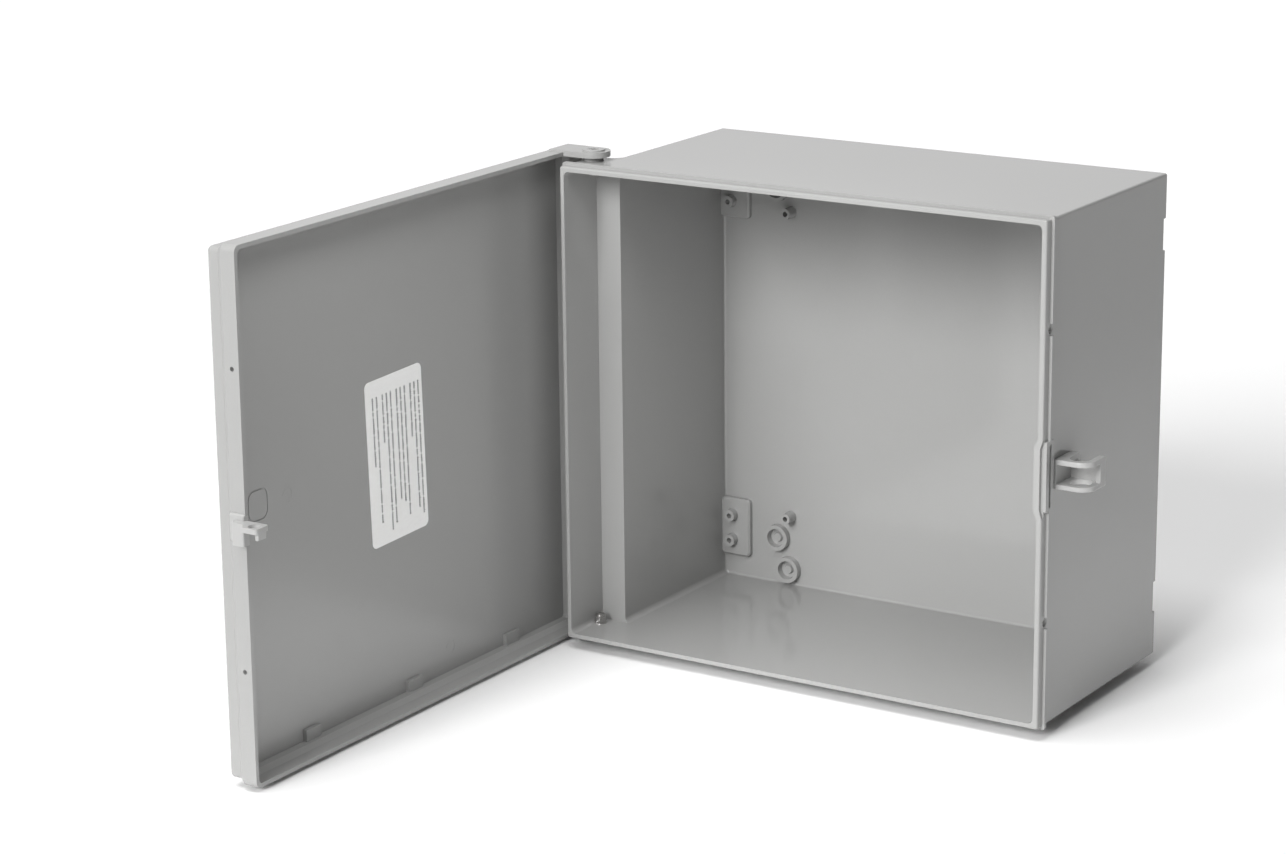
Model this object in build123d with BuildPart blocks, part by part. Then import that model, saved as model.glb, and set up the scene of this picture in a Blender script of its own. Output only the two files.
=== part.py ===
"""Hinged moulded-plastic wall enclosure, door standing open at a right angle. Millimetres, Z up.

Frame: the origin is the centre of the flat rear face, which goes against the wall (+Y).
The opening faces -Y and the door hinges on a vertical axis at the -X side.
The door and its fittings are modelled closed, then turned about the hinge to the open pose.
"""
import os
from build123d import *

os.makedirs("parts", exist_ok=True)

# ---------------------------------------------------------------- main sizes
height = 317.0            # outside height of the box
depth = 170.0             # rear face to front lip
body_right = 163.75       # outside of the right wall
body_left = -163.75       # outside of the left wall behind the hinge pocket
hinge_left = -181.75      # outside of the left wall at the hinge pocket
shoulder_y = -129.0       # outside of the shoulder that joins the two
wall = 3.2
back_wall = 3.4
half_h = height / 2
front_y = -depth
front_w = body_right - hinge_left
front_cx = (body_right + hinge_left) / 2

# drip rib round the lip
rib_front = front_y + 6.3
rib_thick = 2.2
rib_proud = 1.8

# latch pad on the right wall, beside the padlock staple
pad_y0, pad_y1 = front_y + 2.4, front_y + 12.2
pad_half_z = 22.0
pad_z = 1.0
pad_proud = 1.6
lip_bulge = 2.6           # the lip is thicker inside, level with the latch

# rear corner fittings, the same in all four corners
foot_z = 119.5            # centre height of each mounting-foot recess
foot_h = 21.0
foot_len = 21.5
foot_deep = 4.6
inner_pad = (21.8, 41.0, 4.2)      # width, height, rise above the back wall
foot_screw_x = 152.3
foot_screw_z = (foot_z - 8.85, foot_z + 8.85)
foot_screw_r = 1.8
panel_x, panel_z = 107.6, 106.5    # inner panel bosses
panel_r, panel_hole_r, panel_rise = 4.1, 1.8, 8.6
ring_spots = ((117.5, 122.5), (109.0, 144.4))
ring_r, ring_in_r, ring_rise = 9.2, 6.5, 4.8

# hinge
hinge_x, hinge_y = hinge_left + 7.4, front_y + 28.8
shank_r = 2.0
ear_r = 11.0
nut_seat_r = 4.18
ear_bottom = half_h + 2.8
ear_top = half_h + 7.3
ear_plate = half_h + 6.4     # the ear's flat, below its round screw boss
knuckle_r, knuckle_top = 6.5, half_h + 2.5

# door, closed sizes
cap_out, cap_in = 2.9, 0.6         # cap walls, measured outward from the box
skirt_out, skirt_in = 5.4, 2.8     # flared skirt, the same way
door_rim = front_y + 12.5
door_deep = 22.2
panel_t = 2.8
door_front = door_rim - door_deep
door_inner = door_front + panel_t
cap_end = door_front + 8.0         # where the flare starts
flare_end = door_front + 12.0
screw_z = 91.5                     # security screw holes, above and below middle
screw_y = front_y + 7.4

# padlock staple and hook
staple_front, staple_back = front_y + 16.0, front_y + 39.0
staple_out = 187.2
plate_in, plate_t = 6.2, 3.1       # inner face of each plate from middle, thickness
staple_web = 3.0
slot_x, slot_y0, slot_y1, slot_w = 176.4, front_y + 19.8, front_y + 35.2, 13.0
hook_x, hook_y, hook_r = 175.0, front_y + 24.2, 3.9
hook_top, hook_bottom = 1.8, -1.4
hook_end_y = front_y + 29.4
hook_root_y, hook_root_z = door_rim - 5.2, -3.0
block_y0, block_y1 = front_y + 6.8, front_y + 15.4


def across(y):
    """Sketch plane facing the front at depth y: local x is X, local y is Z."""
    return Plane.XZ.offset(-y)


def front_rect(grow):
    """Front outline of the box, grown outward, as width and height."""
    return front_w + 2 * grow, height + 2 * grow


# ---------------------------------------------------------------- enclosure box
with BuildPart() as box:
    # outer body with the shoulder behind the hinge pocket
    with BuildSketch(Plane.XY.offset(-half_h)):
        with BuildLine():
            Polyline((hinge_left, front_y), (body_right, front_y), (body_right, 0),
                     (body_left, 0), (body_left, shoulder_y), (hinge_left, shoulder_y), close=True)
        make_face()
    extrude(amount=height)
    upright = box.edges().filter_by(Axis.Z)
    fillet(upright.group_by(Axis.Y)[-1], 2.0)
    inside = box.edges().filter_by(Axis.Z).filter_by_position(Axis.Y, shoulder_y - 1, shoulder_y + 1)
    fillet(inside.sort_by(Axis.X)[-1], 8.0)
    fillet(inside.sort_by(Axis.X)[0], 3.0)
    fillet(box.faces().sort_by(Axis.Y)[-1].edges().filter_by(Axis.X), 1.6)
    fillet(box.faces().sort_by(Axis.Y)[0].edges().filter_by(Axis.Z), 1.2)
    # drip rib round the lip
    with BuildSketch(across(rib_front + rib_thick)):
        with Locations((front_cx, 0)):
            RectangleRounded(*front_rect(rib_proud), 1.8)
    extrude(amount=rib_thick)
    # knuckles that the door ears turn on
    with BuildSketch(Plane.XY.offset(-knuckle_top)):
        with Locations((hinge_x, hinge_y)):
            Circle(knuckle_r)
    extrude(amount=2 * knuckle_top)
    # latch pad
    with BuildSketch(Plane.YZ.offset(body_right - 0.5)):
        with Locations(((pad_y0 + pad_y1) / 2, pad_z)):
            RectangleRounded(pad_y1 - pad_y0, 2 * pad_half_z, 1.2)
    extrude(amount=pad_proud + 0.5)
    # inside: a shallow pocket as wide as the front, then the full depth behind it
    with BuildSketch(across(front_y)):
        with Locations((front_cx, 0)):
            RectangleRounded(front_w - 2 * wall, height - 2 * wall, 3.5)
    extrude(amount=-(shoulder_y - wall - front_y), mode=Mode.SUBTRACT)
    with BuildSketch(across(front_y)):
        RectangleRounded(body_right - body_left - 2 * wall, height - 2 * wall, 3.5)
    extrude(amount=-(depth - back_wall), mode=Mode.SUBTRACT)
    floor_face = box.faces().filter_by(Axis.Y).filter_by_position(Axis.Y, -back_wall - 0.1, -back_wall + 0.1)
    fillet(floor_face.edges(), 1.6)
    # thicker lip inside, level with the latch, sloping away above, below and behind
    lip_in = body_right - wall
    with BuildSketch(across(front_y)):
        with BuildLine():
            Polyline((lip_in + 0.5, -pad_half_z - 3), (lip_in, -pad_half_z - 3),
                     (lip_in - lip_bulge, -pad_half_z + 2), (lip_in - lip_bulge, pad_half_z - 2),
                     (lip_in, pad_half_z + 3), (lip_in + 0.5, pad_half_z + 3), close=True)
        make_face()
    extrude(amount=-18)
    bulge_back = box.edges().filter_by(Axis.Z).filter_by_position(Axis.Y, front_y + 17.9, front_y + 18.1)
    chamfer(bulge_back.sort_by(Axis.X)[0], length=2.0)
    # shallow relief outside the lip, level with the latch
    with BuildSketch(across(front_y + 2.4)):
        with BuildLine():
            Polyline((body_right + 3, -pad_half_z - 3), (body_right, -pad_half_z - 3),
                     (body_right - 1.8, -pad_half_z + 3), (body_right - 1.8, pad_half_z - 3),
                     (body_right, pad_half_z + 3), (body_right + 3, pad_half_z + 3), close=True)
        make_face()
    extrude(amount=3, mode=Mode.SUBTRACT)
    # groove down the latch pad
    with BuildSketch(Plane.YZ.offset(body_right - 0.8)):
        with Locations((front_y + 7.6, pad_z)):
            RectangleRounded(2.6, 2 * pad_half_z - 4, 1.2)
    extrude(amount=pad_proud + 2, mode=Mode.SUBTRACT)
    # raised pads, panel bosses and ring bosses in the rear corners
    corner_pads = [(sx * (body_right - wall - inner_pad[0] / 2 + 0.5), sz * foot_z)
                   for sx in (-1, 1) for sz in (-1, 1)]
    with BuildSketch(across(-back_wall + 1)):
        with Locations(*corner_pads):
            RectangleRounded(inner_pad[0] + 1, inner_pad[1], 3.0)
    extrude(amount=inner_pad[2] + 1)
    pad_tops = box.faces().filter_by(Axis.Y).filter_by_position(
        Axis.Y, -back_wall - inner_pad[2] - 0.1, -back_wall - inner_pad[2] + 0.1)
    for top in pad_tops:
        inner_side = sorted(top.edges(), key=lambda e: abs(e.center().X))[:-1]
        chamfer(inner_side, 1.2)
    foot_screws = [(sx * foot_screw_x, sz * z) for sx in (-1, 1) for sz in (-1, 1) for z in foot_screw_z]
    with BuildSketch(across(-back_wall - inner_pad[2] + 0.5)):
        with Locations(*foot_screws):
            Circle(4.4)
    extrude(amount=5.4, taper=4)
    panel_bosses = [(sx * panel_x, sz * panel_z) for sx in (-1, 1) for sz in (-1, 1)]
    with BuildSketch(across(-back_wall + 0.5)):
        with Locations(*panel_bosses):
            Circle(panel_r)
    extrude(amount=panel_rise + 0.5, taper=3)
    rings = [(sx * x, sz * z) for sx in (-1, 1) for sz in (-1, 1) for x, z in ring_spots]
    with BuildSketch(across(-back_wall + 0.5)):
        with Locations(*rings):
            Circle(ring_r)
    extrude(amount=ring_rise + 0.5, taper=2)
    with BuildSketch(across(-back_wall - ring_rise)):
        with Locations(*rings):
            Circle(ring_in_r)
    extrude(amount=-ring_rise + 0.2, taper=8, mode=Mode.SUBTRACT)
    with BuildSketch(across(-back_wall)):
        with Locations(*rings):
            Circle(3.6)
    extrude(amount=2.0, taper=24)
    # mounting-foot recesses outside, with their screw holes through the bosses
    with BuildSketch(across(1)):
        with Locations(*[(sx * (body_right - foot_len / 2 + 1), sz * foot_z)
                         for sx in (-1, 1) for sz in (-1, 1)]):
            Rectangle(foot_len + 2, foot_h)
    extrude(amount=foot_deep + 1, mode=Mode.SUBTRACT)
    with BuildSketch(across(1)):
        with Locations(*foot_screws):
            Circle(foot_screw_r)
    extrude(amount=20, mode=Mode.SUBTRACT)
    with BuildSketch(across(-back_wall - panel_rise - 1)):
        with Locations(*panel_bosses):
            Circle(panel_hole_r)
    extrude(amount=-panel_rise, mode=Mode.SUBTRACT)
    # pockets across the rib for the security screws
    lip_screws = ((screw_y, screw_z), (screw_y, -screw_z))
    with BuildSketch(Plane.YZ.offset(body_right)):
        with Locations(*lip_screws):
            Rectangle(4.2, 7.6)
    extrude(amount=rib_proud + 1, mode=Mode.SUBTRACT)
    with BuildSketch(Plane.YZ.offset(body_right)):
        with Locations(*lip_screws):
            Circle(2.9)
    extrude(amount=-1.1, taper=30, mode=Mode.SUBTRACT)
    # security screw holes through the right lip, and hinge screw holes top and bottom
    with BuildSketch(Plane.YZ.offset(body_right - wall - 1)):
        with Locations(*lip_screws):
            Circle(1.3)
    extrude(amount=wall + 5, mode=Mode.SUBTRACT)
    with BuildSketch(Plane.XY.offset(-knuckle_top - 1)):
        with Locations((hinge_x, hinge_y)):
            Circle(shank_r)
    extrude(amount=2 * knuckle_top + 2, mode=Mode.SUBTRACT)
    # flat seats for the hinge nuts, cut through the rounded inside corner
    for side in (1, -1):
        with BuildSketch(Plane.XY.offset(side * (half_h - wall))):
            with Locations((hinge_x, hinge_y)):
                Circle(nut_seat_r)
        extrude(amount=-side * 8.0, mode=Mode.SUBTRACT)
    # peg holes for the staple
    with BuildSketch(Plane.YZ.offset(body_right - wall - 1)):
        with Locations((staple_front + 8, 0), (staple_back - 8, 0)):
            Circle(2.0)
    extrude(amount=wall + 5, mode=Mode.SUBTRACT)

# ---------------------------------------------------------------- door, modelled closed
with BuildPart() as door_closed:
    # cap, flare and skirt outside
    with BuildSketch(across(cap_end)):
        with Locations((front_cx, 0)):
            RectangleRounded(*front_rect(cap_out), 3.5)
    extrude(amount=cap_end - door_front)
    fillet(door_closed.faces().sort_by(Axis.Y)[0].edges(), 2.2)
    with BuildSketch(across(cap_end)):
        with Locations((front_cx, 0)):
            RectangleRounded(*front_rect(cap_out), 3.5)
    with BuildSketch(across(flare_end)):
        with Locations((front_cx, 0)):
            RectangleRounded(*front_rect(skirt_out), 4.5)
    loft()
    with BuildSketch(across(door_rim)):
        with Locations((front_cx, 0)):
            RectangleRounded(*front_rect(skirt_out), 4.5)
    extrude(amount=door_rim - flare_end)
    # hinge ears above and below
    for z0 in (ear_bottom, -ear_plate):
        with BuildSketch(Plane.XY.offset(z0)):
            with Locations((hinge_x, hinge_y)):
                Circle(ear_r)
            with Locations((hinge_x, (hinge_y + flare_end - 1) / 2)):
                Rectangle(2 * ear_r, hinge_y - flare_end + 1)
        extrude(amount=ear_plate - ear_bottom)
    with BuildSketch(Plane.XY.offset(-ear_top)):
        with Locations((hinge_x, hinge_y)):
            Circle(7.4)
    extrude(amount=ear_top - ear_bottom)
    with BuildSketch(Plane.XY.offset(ear_bottom)):
        with Locations((hinge_x, hinge_y)):
            Circle(7.4)
    extrude(amount=ear_top - ear_bottom)
    # hollow
    with BuildSketch(across(cap_end + 0.4)):
        with Locations((front_cx, 0)):
            RectangleRounded(*front_rect(cap_in), 2.0)
    extrude(amount=cap_end + 0.4 - door_inner, mode=Mode.SUBTRACT)
    with BuildSketch(across(cap_end + 0.4)):
        with Locations((front_cx, 0)):
            RectangleRounded(*front_rect(cap_in), 2.0)
    with BuildSketch(across(flare_end + 0.4)):
        with Locations((front_cx, 0)):
            RectangleRounded(*front_rect(skirt_in), 3.0)
    loft(mode=Mode.SUBTRACT)
    with BuildSketch(across(door_rim + 1)):
        with Locations((front_cx, 0)):
            RectangleRounded(*front_rect(skirt_in), 3.0)
    extrude(amount=door_rim + 1 - flare_end - 0.4, mode=Mode.SUBTRACT)
    # stop tabs on the inner face, along the bottom
    tab_x = (-119.0, -11.5, 93.0)
    with BuildSketch(across(door_inner + 2.8)):
        with Locations(*[(x, 2.9 - half_h) for x in tab_x]):
            Rectangle(14.5, 7.8)
    extrude(amount=3.8)
    # ejector marks and the round-cornered lock position mark
    with BuildSketch(across(door_inner + 1)):
        with Locations((134.0, -0.5)):
            RectangleRounded(18.5, 19.5, 6.0)
            RectangleRounded(16.5, 17.5, 5.0, mode=Mode.SUBTRACT)
    extrude(amount=1.5, mode=Mode.SUBTRACT)
    with BuildSketch(across(door_inner + 1)):
        with Locations((-169.0, 1.0), (106.5, -1.0), (-53.0, -143.0)):
            Circle(4.6)
            Circle(4.0, mode=Mode.SUBTRACT)
            Rectangle(12.0, 12.0, align=(Align.MIN, Align.MAX), mode=Mode.SUBTRACT)
    extrude(amount=1.12, mode=Mode.SUBTRACT)
    # slot in the free-side skirt for the padlock hook
    with BuildSketch(Plane.YZ.offset(body_right + 1)):
        with Locations((hook_root_y + 1, hook_root_z)):
            Rectangle(12.4, 15.2)
    extrude(amount=8, mode=Mode.SUBTRACT)
    # security screw holes
    with BuildSketch(Plane.YZ.offset(body_right + 1)):
        with Locations((screw_y, screw_z), (screw_y, -screw_z)):
            Circle(1.5)
    extrude(amount=8, mode=Mode.SUBTRACT)
    # hinge screw holes, countersunk from outside
    for side in (1, -1):
        with Locations(Plane((hinge_x, hinge_y, side * ear_top), z_dir=(0, 0, side))):
            CounterSinkHole(radius=shank_r + 0.06, counter_sink_radius=4.1, depth=8,
                            counter_sink_angle=90)

# ---------------------------------------------------------------- padlock hook, modelled closed
with BuildPart() as hook_closed:
    # root in the skirt slot, and its flange outside
    with BuildSketch(Plane.YZ.offset(body_right + skirt_in)):
        with Locations((hook_root_y, hook_root_z)):
            Rectangle(10.3, 15.0)
    extrude(amount=skirt_out - skirt_in)
    with BuildSketch(Plane.YZ.offset(body_right + skirt_out)):
        with Locations((hook_root_y - 0.3, hook_root_z)):
            RectangleRounded(11.0, 17.0, 1.5)
    extrude(amount=1.5)
    chamfer(hook_closed.faces().sort_by(Axis.X)[-1].edges(), 0.7)
    # finger block in front of the staple
    with BuildSketch(Plane.XY.offset(-12.2)):
        with BuildLine():
            Polyline((169.5, block_y0), (175.0, block_y0), (175.0, block_y1), (169.5, block_y1), close=True)
        outline = make_face()
        fillet(outline.vertices().group_by(Axis.X)[-1], 1.0)
    extrude(amount=12.2 + hook_top)
    # plate with the shackle hole
    with BuildSketch(Plane.XY.offset(hook_bottom)):
        with BuildLine():
            Polyline((168.4, block_y0 + 2), (175.0, block_y0 + 2), (175.0, block_y1), (180.4, block_y1 + 4.0),
                     (180.4, hook_end_y), (168.4, hook_end_y), close=True)
        outline = make_face()
        fillet(outline.vertices().group_by(Axis.Y)[-1], 2.0)
        fillet(outline.vertices().group_by(Axis.X)[-1].sort_by(Axis.Y)[0], 2.0)
    extrude(amount=hook_top - hook_bottom)
    # tooth under the far end of the plate
    with BuildSketch(Plane.XY.offset(hook_bottom + 0.5)):
        with Locations((174.3, hook_end_y - 1.7)):
            RectangleRounded(8.0, 3.0, 0.8)
    extrude(amount=-4.7, taper=4)
    with BuildSketch(Plane.XY.offset(hook_bottom - 1)):
        with Locations((hook_x, hook_y)):
            Circle(hook_r)
    extrude(amount=6, mode=Mode.SUBTRACT)

# ---------------------------------------------------------------- padlock staple
with BuildPart() as staple:
    # two plates, drawn once and mirrored
    with BuildSketch(Plane.XY.offset(plate_in)):
        with BuildLine():
            Polyline((body_right, staple_front), (staple_out, staple_front),
                     (staple_out, staple_back), (body_right, staple_back), close=True)
        outline = make_face()
        fillet(outline.vertices().group_by(Axis.X)[-1].sort_by(Axis.Y)[0], 9.0)
        fillet(outline.vertices().group_by(Axis.X)[-1].sort_by(Axis.Y)[-1], 5.0)
    extrude(amount=plate_t)
    fillet(staple.edges().filter_by(Plane.XY).group_by(Axis.Z)[-1].filter_by_position(
        Axis.X, body_right + 1, staple_out + 1), 0.8)
    mirror(about=Plane.XY)
    # web round the back and the outer end
    with BuildSketch(Plane.XY.offset(-plate_in - 0.5)):
        with BuildLine():
            Polyline((body_right, staple_back - staple_web), (staple_out - staple_web, staple_back - staple_web),
                     (staple_out - staple_web, staple_front + 15.5), (staple_out, staple_front + 15.5),
                     (staple_out, staple_back), (body_right, staple_back), close=True)
        outline = make_face()
        fillet(outline.vertices().sort_by(Axis.X)[-1:] , 0.4)
        fillet(outline.vertices().group_by(Axis.Y)[-1].sort_by(Axis.X)[-1], 5.0)
        fillet(outline.vertices().filter_by_position(Axis.X, staple_out - staple_web - 0.1,
               staple_out - staple_web + 0.1).sort_by(Axis.Y)[-1], 3.0)
    extrude(amount=2 * plate_in + 1)
    # foot against the wall, with two pegs through it
    with BuildSketch(Plane.YZ.offset(body_right)):
        with Locations(((staple_front + staple_back) / 2, 0)):
            Rectangle(staple_back - staple_front, 2 * (plate_in + 0.5))
    extrude(amount=1.6)
    with BuildSketch(Plane.YZ.offset(body_right)):
        with Locations((staple_front + 8, 0), (staple_back - 8, 0)):
            Circle(2.0)
    extrude(amount=-wall)
    # shackle slots through both plates
    with BuildSketch(Plane.XY.offset(-plate_in - plate_t - 1)):
        with Locations((slot_x, (slot_y0 + slot_y1) / 2)):
            SlotOverall(slot_y1 - slot_y0, slot_w, rotation=90)
    extrude(amount=2 * (plate_in + plate_t + 1), mode=Mode.SUBTRACT)
    # the upper slot runs out through the back, over the top of the web
    with BuildSketch(Plane.XY.offset(plate_in - 2)):
        with Locations((slot_x, (slot_y0 + slot_y1) / 2)):
            Rectangle(slot_w, 15, align=(Align.CENTER, Align.MIN))
    extrude(amount=plate_t + 4, mode=Mode.SUBTRACT)

# ---------------------------------------------------------------- hinge screws and nuts
head_r, head_drop = 3.9, 1.9
nut_af, nut_h, washer_r, washer_t = 6.6, 4.6, 4.1, 0.8
shank_end = half_h - wall - washer_t - nut_h - 0.8

with BuildPart() as screw:
    # countersunk head, plain shank, screw end inside the box
    with BuildSketch(Plane.XZ):
        with BuildLine():
            Polyline((0, ear_top - 0.15), (head_r, ear_top - 0.15), (shank_r, ear_top - 0.15 - head_drop),
                     (shank_r, shank_end + 0.6), (shank_r - 0.6, shank_end), (0, shank_end), close=True)
        make_face()
    revolve(axis=Axis.Z)
    # cross recess in the head
    with BuildSketch(Plane.XY.offset(ear_top - 0.15)):
        Rectangle(4.4, 0.9)
        Rectangle(0.9, 4.4)
    extrude(amount=-1.2, mode=Mode.SUBTRACT)

with BuildPart() as nut:
    with BuildSketch(Plane.XY.offset(half_h - wall - washer_t)):
        Circle(washer_r)
    extrude(amount=washer_t)
    with BuildSketch(Plane.XY.offset(half_h - wall - washer_t - nut_h)):
        RegularPolygon(nut_af / 2, 6, major_radius=False)
    extrude(amount=nut_h)
    with BuildSketch(Plane.XY.offset(half_h - wall - washer_t - nut_h)):
        Circle(3.0)
    extrude(amount=-1.0)
    with BuildSketch(Plane.XY.offset(half_h - wall - washer_t - nut_h - 2)):
        Circle(shank_r)
    extrude(amount=10, mode=Mode.SUBTRACT)

# ---------------------------------------------------------------- label, modelled closed
label_cx, label_cz, label_w, label_h, label_t = -2.3, -3.0, 58.0, 107.0, 0.25
label_tilt = 2.0          # stuck on slightly out of square
with BuildPart() as label_closed:
    with BuildSketch(across(door_inner + label_t)):
        with Locations((label_cx, label_cz)):
            RectangleRounded(label_w, label_h, 4.0, rotation=-label_tilt)
    extrude(amount=label_t)

# ---------------------------------------------------------------- place and export
hinge_axis = Axis((hinge_x, hinge_y, 0), (0, 0, 1))
at_hinge = Location((hinge_x, hinge_y, 0))
flip = Location((hinge_x, hinge_y, 0), (180, 0, 0))

nodes = {
    "enclosure_box": box.part,
    "door": door_closed.part.rotate(hinge_axis, -90),
    "padlock_hook": hook_closed.part.rotate(hinge_axis, -90),
    "padlock_staple": staple.part,
    "door_label": label_closed.part.rotate(hinge_axis, -90),
    "upper_hinge_screw": at_hinge * screw.part,
    "upper_hinge_nut": at_hinge * nut.part,
    "lower_hinge_screw": flip * screw.part,
    "lower_hinge_nut": flip * nut.part,
}
for name, shape in nodes.items():
    shape.label = name
    export_step(shape, f"parts/{name}.step")
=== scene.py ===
"""Looks for the hinged plastic enclosure: materials, label marks, floor, light and camera."""
import math
import random

import bpy
from mathutils import Matrix, Vector


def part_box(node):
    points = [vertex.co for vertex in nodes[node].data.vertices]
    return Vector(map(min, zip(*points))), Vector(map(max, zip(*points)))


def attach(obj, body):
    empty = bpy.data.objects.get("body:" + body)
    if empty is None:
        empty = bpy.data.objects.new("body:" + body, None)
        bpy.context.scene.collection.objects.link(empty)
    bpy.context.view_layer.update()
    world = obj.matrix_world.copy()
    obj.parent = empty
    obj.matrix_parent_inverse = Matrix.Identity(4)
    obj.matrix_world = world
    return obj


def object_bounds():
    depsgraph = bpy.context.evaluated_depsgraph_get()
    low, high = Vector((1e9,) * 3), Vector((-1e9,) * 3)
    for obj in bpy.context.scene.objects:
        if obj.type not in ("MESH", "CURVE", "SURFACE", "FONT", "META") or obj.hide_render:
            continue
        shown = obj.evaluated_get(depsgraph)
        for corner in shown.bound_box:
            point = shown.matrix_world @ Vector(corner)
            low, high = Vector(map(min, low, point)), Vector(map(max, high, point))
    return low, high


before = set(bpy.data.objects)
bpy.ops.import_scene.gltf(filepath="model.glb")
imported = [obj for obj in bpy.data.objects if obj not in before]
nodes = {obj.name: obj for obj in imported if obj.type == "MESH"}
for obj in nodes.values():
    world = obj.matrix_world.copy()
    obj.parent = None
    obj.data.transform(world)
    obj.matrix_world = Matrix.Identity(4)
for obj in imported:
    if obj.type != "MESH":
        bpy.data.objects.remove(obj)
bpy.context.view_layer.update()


# ---------------------------------------------------------------- materials
def new_material(name):
    m = bpy.data.materials.new(name)
    m.use_nodes = True
    t = m.node_tree
    b = next(n for n in t.nodes if n.type == "BSDF_PRINCIPLED")
    return m, t, b


def add(t, kind, **settings):
    n = t.nodes.new(kind)
    for k, v in settings.items():
        setattr(n, k, v)
    return n


def noise(t, coords, scale, detail, rough, stretch=(1, 1, 1)):
    mapping = add(t, "ShaderNodeMapping")
    mapping.inputs["Scale"].default_value = stretch
    n = add(t, "ShaderNodeTexNoise")
    n.inputs["Scale"].default_value = scale
    n.inputs["Detail"].default_value = detail
    n.inputs["Roughness"].default_value = rough
    t.links.new(coords.outputs["Object"], mapping.inputs["Vector"])
    t.links.new(mapping.outputs["Vector"], n.inputs["Vector"])
    return n


def remap(t, source, lo, hi, a, b):
    r = add(t, "ShaderNodeMapRange")
    r.inputs["From Min"].default_value = lo
    r.inputs["From Max"].default_value = hi
    r.inputs["To Min"].default_value = a
    r.inputs["To Max"].default_value = b
    t.links.new(source, r.inputs["Value"])
    return r.outputs["Result"]


def moulded(name, color, rough, variation=0.02, grain=0.05, spread=0.03):
    """Light grey moulded plastic: faint colour drift, a very fine skin and a slow haze in the gloss."""
    m, t, b = new_material(name)
    coords = add(t, "ShaderNodeTexCoord")
    drift = noise(t, coords, 4.0, 2.0, 0.5)
    skin = noise(t, coords, 1400.0, 2.0, 0.55)
    haze = noise(t, coords, 9.0, 3.0, 0.55, (1.0, 1.0, 0.5))
    tint = add(t, "ShaderNodeMix", data_type="RGBA")
    tint.inputs[6].default_value = [c * (1 - variation) for c in color] + [1]
    tint.inputs[7].default_value = [min(1, c * (1 + variation)) for c in color] + [1]
    t.links.new(remap(t, drift.outputs["Fac"], 0.3, 0.7, 0, 1), tint.inputs[0])
    fleck = add(t, "ShaderNodeMix", data_type="RGBA", blend_type="MULTIPLY")
    fleck.inputs[0].default_value = 1.0
    tone = add(t, "ShaderNodeCombineColor")
    level = remap(t, skin.outputs["Fac"], 0.3, 0.7, 0.985, 1.01)
    for channel in ("Red", "Green", "Blue"):
        t.links.new(level, tone.inputs[channel])
    t.links.new(tint.outputs[2], fleck.inputs[6])
    t.links.new(tone.outputs["Color"], fleck.inputs[7])
    t.links.new(fleck.outputs[2], b.inputs["Base Color"])
    gloss = remap(t, haze.outputs["Fac"], 0.3, 0.7, rough - spread, rough + spread)
    t.links.new(gloss, b.inputs["Roughness"])
    bump = add(t, "ShaderNodeBump")
    bump.inputs["Strength"].default_value = grain
    bump.inputs["Distance"].default_value = 0.0001
    t.links.new(skin.outputs["Fac"], bump.inputs["Height"])
    t.links.new(bump.outputs["Normal"], b.inputs["Normal"])
    b.inputs["IOR"].default_value = 1.52
    return m


def steel(name, tint, rough, stretch):
    """Stainless steel with fine turning marks."""
    m, t, b = new_material(name)
    coords = add(t, "ShaderNodeTexCoord")
    marks = noise(t, coords, 700.0, 3.0, 0.6, stretch)
    ramp = add(t, "ShaderNodeMix", data_type="RGBA")
    ramp.inputs[6].default_value = [c * 0.82 for c in tint] + [1]
    ramp.inputs[7].default_value = list(tint) + [1]
    t.links.new(remap(t, marks.outputs["Fac"], 0.35, 0.65, 0, 1), ramp.inputs[0])
    t.links.new(ramp.outputs[2], b.inputs["Base Color"])
    gloss = remap(t, marks.outputs["Fac"], 0.3, 0.7, rough - 0.06, rough + 0.08)
    t.links.new(gloss, b.inputs["Roughness"])
    bump = add(t, "ShaderNodeBump")
    bump.inputs["Strength"].default_value = 0.15
    bump.inputs["Distance"].default_value = 0.0002
    t.links.new(marks.outputs["Fac"], bump.inputs["Height"])
    t.links.new(bump.outputs["Normal"], b.inputs["Normal"])
    b.inputs["Metallic"].default_value = 1.0
    return m


def paper(name, color):
    """Printed film: almost white, with a faint fibre and a satin face."""
    m, t, b = new_material(name)
    coords = add(t, "ShaderNodeTexCoord")
    fibre = noise(t, coords, 260.0, 5.0, 0.65, (1.0, 1.0, 3.0))
    ramp = add(t, "ShaderNodeMix", data_type="RGBA")
    ramp.inputs[6].default_value = [c * 0.95 for c in color] + [1]
    ramp.inputs[7].default_value = list(color) + [1]
    t.links.new(remap(t, fibre.outputs["Fac"], 0.3, 0.7, 0, 1), ramp.inputs[0])
    t.links.new(ramp.outputs[2], b.inputs["Base Color"])
    t.links.new(remap(t, fibre.outputs["Fac"], 0.3, 0.7, 0.42, 0.55), b.inputs["Roughness"])
    bump = add(t, "ShaderNodeBump")
    bump.inputs["Strength"].default_value = 0.08
    bump.inputs["Distance"].default_value = 0.0001
    t.links.new(fibre.outputs["Fac"], bump.inputs["Height"])
    t.links.new(bump.outputs["Normal"], b.inputs["Normal"])
    return m


shell_mat = moulded("shell_plastic", (0.355, 0.355, 0.350), 0.11, grain=0.012, spread=0.015)
door_mat = moulded("door_plastic", (0.355, 0.355, 0.350), 0.235, spread=0.025)
latch_mat = moulded("latch_plastic", (0.40, 0.40, 0.395), 0.32, variation=0.01)
label_mat = paper("label_film", (0.99, 0.99, 0.98))
ink_mat = paper("label_marks", (0.12, 0.12, 0.12))
steel_mat = steel("stainless", (0.62, 0.61, 0.60), 0.30, (1, 1, 6))

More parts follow.
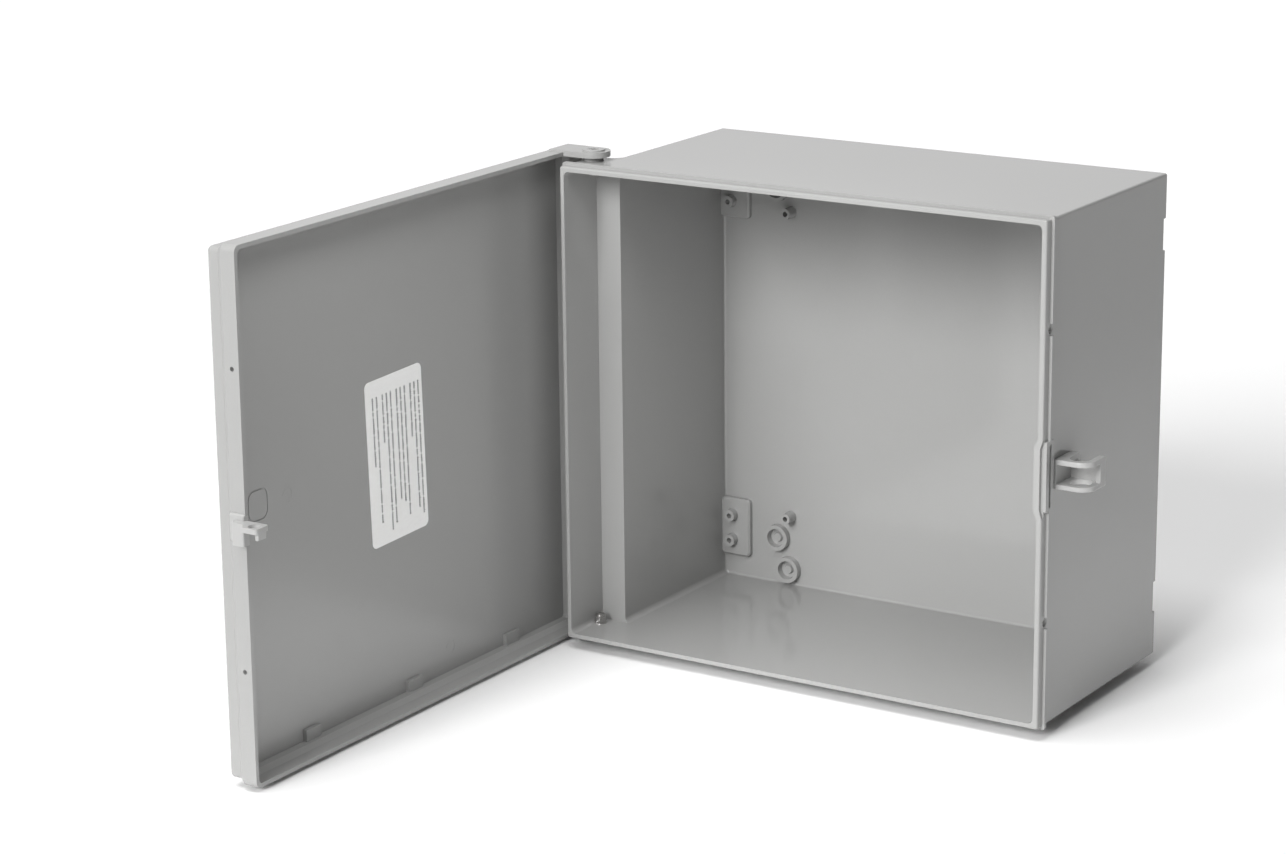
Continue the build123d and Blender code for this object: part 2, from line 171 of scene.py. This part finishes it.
looks = {
    "enclosure_box": shell_mat, "door": door_mat, "padlock_hook": latch_mat, "padlock_staple": latch_mat,
    "door_label": label_mat, "upper_hinge_screw": steel_mat, "upper_hinge_nut": steel_mat,
    "lower_hinge_screw": steel_mat, "lower_hinge_nut": steel_mat,
}
for name, mat in looks.items():
    data = nodes[name].data
    data.materials.clear()
    data.materials.append(mat)


# ---------------------------------------------------------------- label marks
def label_marks():
    """Rows of small ticks on the blank label, standing for print. They carry no letters."""
    lo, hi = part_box("door_label")
    above_film = 0.00004
    centre = Vector((hi.x + above_film, (lo.y + hi.y) / 2, (lo.z + hi.z) / 2))
    tilt = math.radians(2.0)
    rng = random.Random(7)
    verts, faces = [], []
    row_start, row_length, pitch, group_gap = 0.0425, 0.0830, 0.00415, 0.0018
    base, tick_gap, word_gap = 0.0007, 0.00045, 0.0011
    groups = ((0.97, 0.96, 0.36), (1.0, 0.83, 0.86), (1.0, 0.98, 0.33), (0.98, 0.50))
    y = 0.0250
    for group in groups:
        for share in group:
            z = row_start
            end = row_start - row_length * share
            while z > end:
                for _ in range(rng.randint(2, 9)):
                    tick = rng.uniform(0.0006, 0.0011)
                    tall = rng.choice((0.0007, 0.0007, 0.0010))
                    top, foot, after = y + tall, y - base, z - tick
                    for a, c in ((top, z), (top, after), (foot, after), (foot, z)):
                        verts.append(centre + Vector((0, a * math.cos(tilt) - c * math.sin(tilt),
                                                      a * math.sin(tilt) + c * math.cos(tilt))))
                    k = len(verts)
                    faces.append((k - 4, k - 3, k - 2, k - 1))
                    z -= tick + tick_gap
                z -= word_gap
            y -= pitch
        y -= group_gap
    mesh = bpy.data.meshes.new("label_marks")
    mesh.from_pydata(verts, [], faces)
    mesh.materials.append(ink_mat)
    obj = bpy.data.objects.new("label_marks", mesh)
    bpy.context.scene.collection.objects.link(obj)
    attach(obj, "door")


label_marks()


# ---------------------------------------------------------------- floor, light, camera
floor_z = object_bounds()[0].z - 0.001
half = 14.0
mesh = bpy.data.meshes.new("floor")
corners = [(x, y, floor_z) for x, y in ((-half, -half), (half, -half), (half, half), (-half, half))]
mesh.from_pydata(corners, [], [(0, 1, 2, 3)])
floor = bpy.data.objects.new("floor", mesh)
bpy.context.scene.collection.objects.link(floor)
floor_mat, t, b = new_material("floor_paper")
# pale paper floor, painted greyer off to the right: painted shade that cuts the bounce light onto the
# box's right side
side = add(t, "ShaderNodeVectorMath", operation="DOT_PRODUCT")
side.inputs[1].default_value = (0.925, 0.379, 0)
t.links.new(add(t, "ShaderNodeTexCoord").outputs["Object"], side.inputs[0])
floor_painted_shade = add(t, "ShaderNodeMix", data_type="RGBA")
floor_painted_shade.inputs[6].default_value = (0.95, 0.95, 0.95, 1)
# the greyer colour is the painted shade off to the right
floor_painted_shade.inputs[7].default_value = (0.62, 0.62, 0.62, 1)
t.links.new(remap(t, side.outputs["Value"], 0.23, 0.85, 0, 1), floor_painted_shade.inputs[0])
t.links.new(floor_painted_shade.outputs[2], b.inputs["Base Color"])
b.inputs["Roughness"].default_value = 0.9
b.inputs["Specular IOR Level"].default_value = 0.1
mesh.materials.append(floor_mat)

world = bpy.data.worlds.new("studio")
bpy.context.scene.world = world
world.use_nodes = True
t = world.node_tree
background = t.nodes["Background"]
background.inputs["Color"].default_value = (1, 1, 1, 1)
# the studio is dim except behind the object, and the camera sees a white backdrop all round
facing = add(t, "ShaderNodeVectorMath", operation="DOT_PRODUCT")
facing.inputs[1].default_value = Vector((-0.6, 0.78, 0.2)).normalized()
t.links.new(add(t, "ShaderNodeTexCoord").outputs["Generated"], facing.inputs[0])
t.links.new(remap(t, facing.outputs["Value"], 0.6, 0.93, 0.10, 0.75), background.inputs["Strength"])
backdrop = add(t, "ShaderNodeBackground")
backdrop.inputs["Color"].default_value = (1, 1, 1, 1)
backdrop.inputs["Strength"].default_value = 1.0
path = add(t, "ShaderNodeLightPath")
mix = add(t, "ShaderNodeMixShader")
t.links.new(path.outputs["Is Camera Ray"], mix.inputs[0])
t.links.new(background.outputs[0], mix.inputs[1])
t.links.new(backdrop.outputs[0], mix.inputs[2])
t.links.new(mix.outputs[0], t.nodes["World Output"].inputs["Surface"])


def soft_sun(name, direction, strength, spread):
    data = bpy.data.lights.new(name, "SUN")
    data.energy = strength
    data.angle = math.radians(spread)
    obj = bpy.data.objects.new(name, data)
    obj.rotation_mode = "QUATERNION"
    obj.rotation_quaternion = Vector(direction).to_track_quat("-Z", "Y")
    bpy.context.scene.collection.objects.link(obj)


soft_sun("overhead", (0.15, 0.22, -1.0), 1.75, 34)
soft_sun("front", (0.04, 0.92, -0.45), 3.0, 26)

# a soft round light above the open door, to its right
data = bpy.data.lights.new("door_fill", "AREA")
data.shape, data.size, data.energy = "DISK", 0.30, 0.43
data.spread = math.radians(90)
obj = bpy.data.objects.new("door_fill", data)
obj.location = (0.13, -0.52, 0.56)
obj.rotation_mode = "QUATERNION"
obj.rotation_quaternion = Vector((-0.33, 0.20, -0.56)).to_track_quat("-Z", "Y")
obj.visible_camera = False
bpy.context.scene.collection.objects.link(obj)

cam_data = bpy.data.cameras.new("camera")
cam = bpy.data.objects.new("camera", cam_data)
bpy.context.scene.collection.objects.link(cam)
yaw, pitch, roll = math.radians(32.965), math.radians(-15.13), math.radians(-0.649)
fwd = Vector((-math.sin(yaw) * math.cos(pitch), math.cos(yaw) * math.cos(pitch), math.sin(pitch)))
right = Vector((math.cos(yaw), math.sin(yaw), 0))
up = right.cross(fwd)
r2 = right * math.cos(roll) + up * math.sin(roll)
u2 = up * math.cos(roll) - right * math.sin(roll)
place = Vector((1.0307, -1.9446, 0.5662))
cam.matrix_world = Matrix((
    (r2.x, u2.x, -fwd.x, place.x),
    (r2.y, u2.y, -fwd.y, place.y),
    (r2.z, u2.z, -fwd.z, place.z),
    (0, 0, 0, 1)))
cam_data.sensor_width = 36.0
cam_data.lens = 95.52      # millimetres
cam_data.clip_start, cam_data.clip_end = 0.05, 60.0
bpy.context.scene.camera = cam
bpy.context.scene.view_settings.view_transform = "Standard"
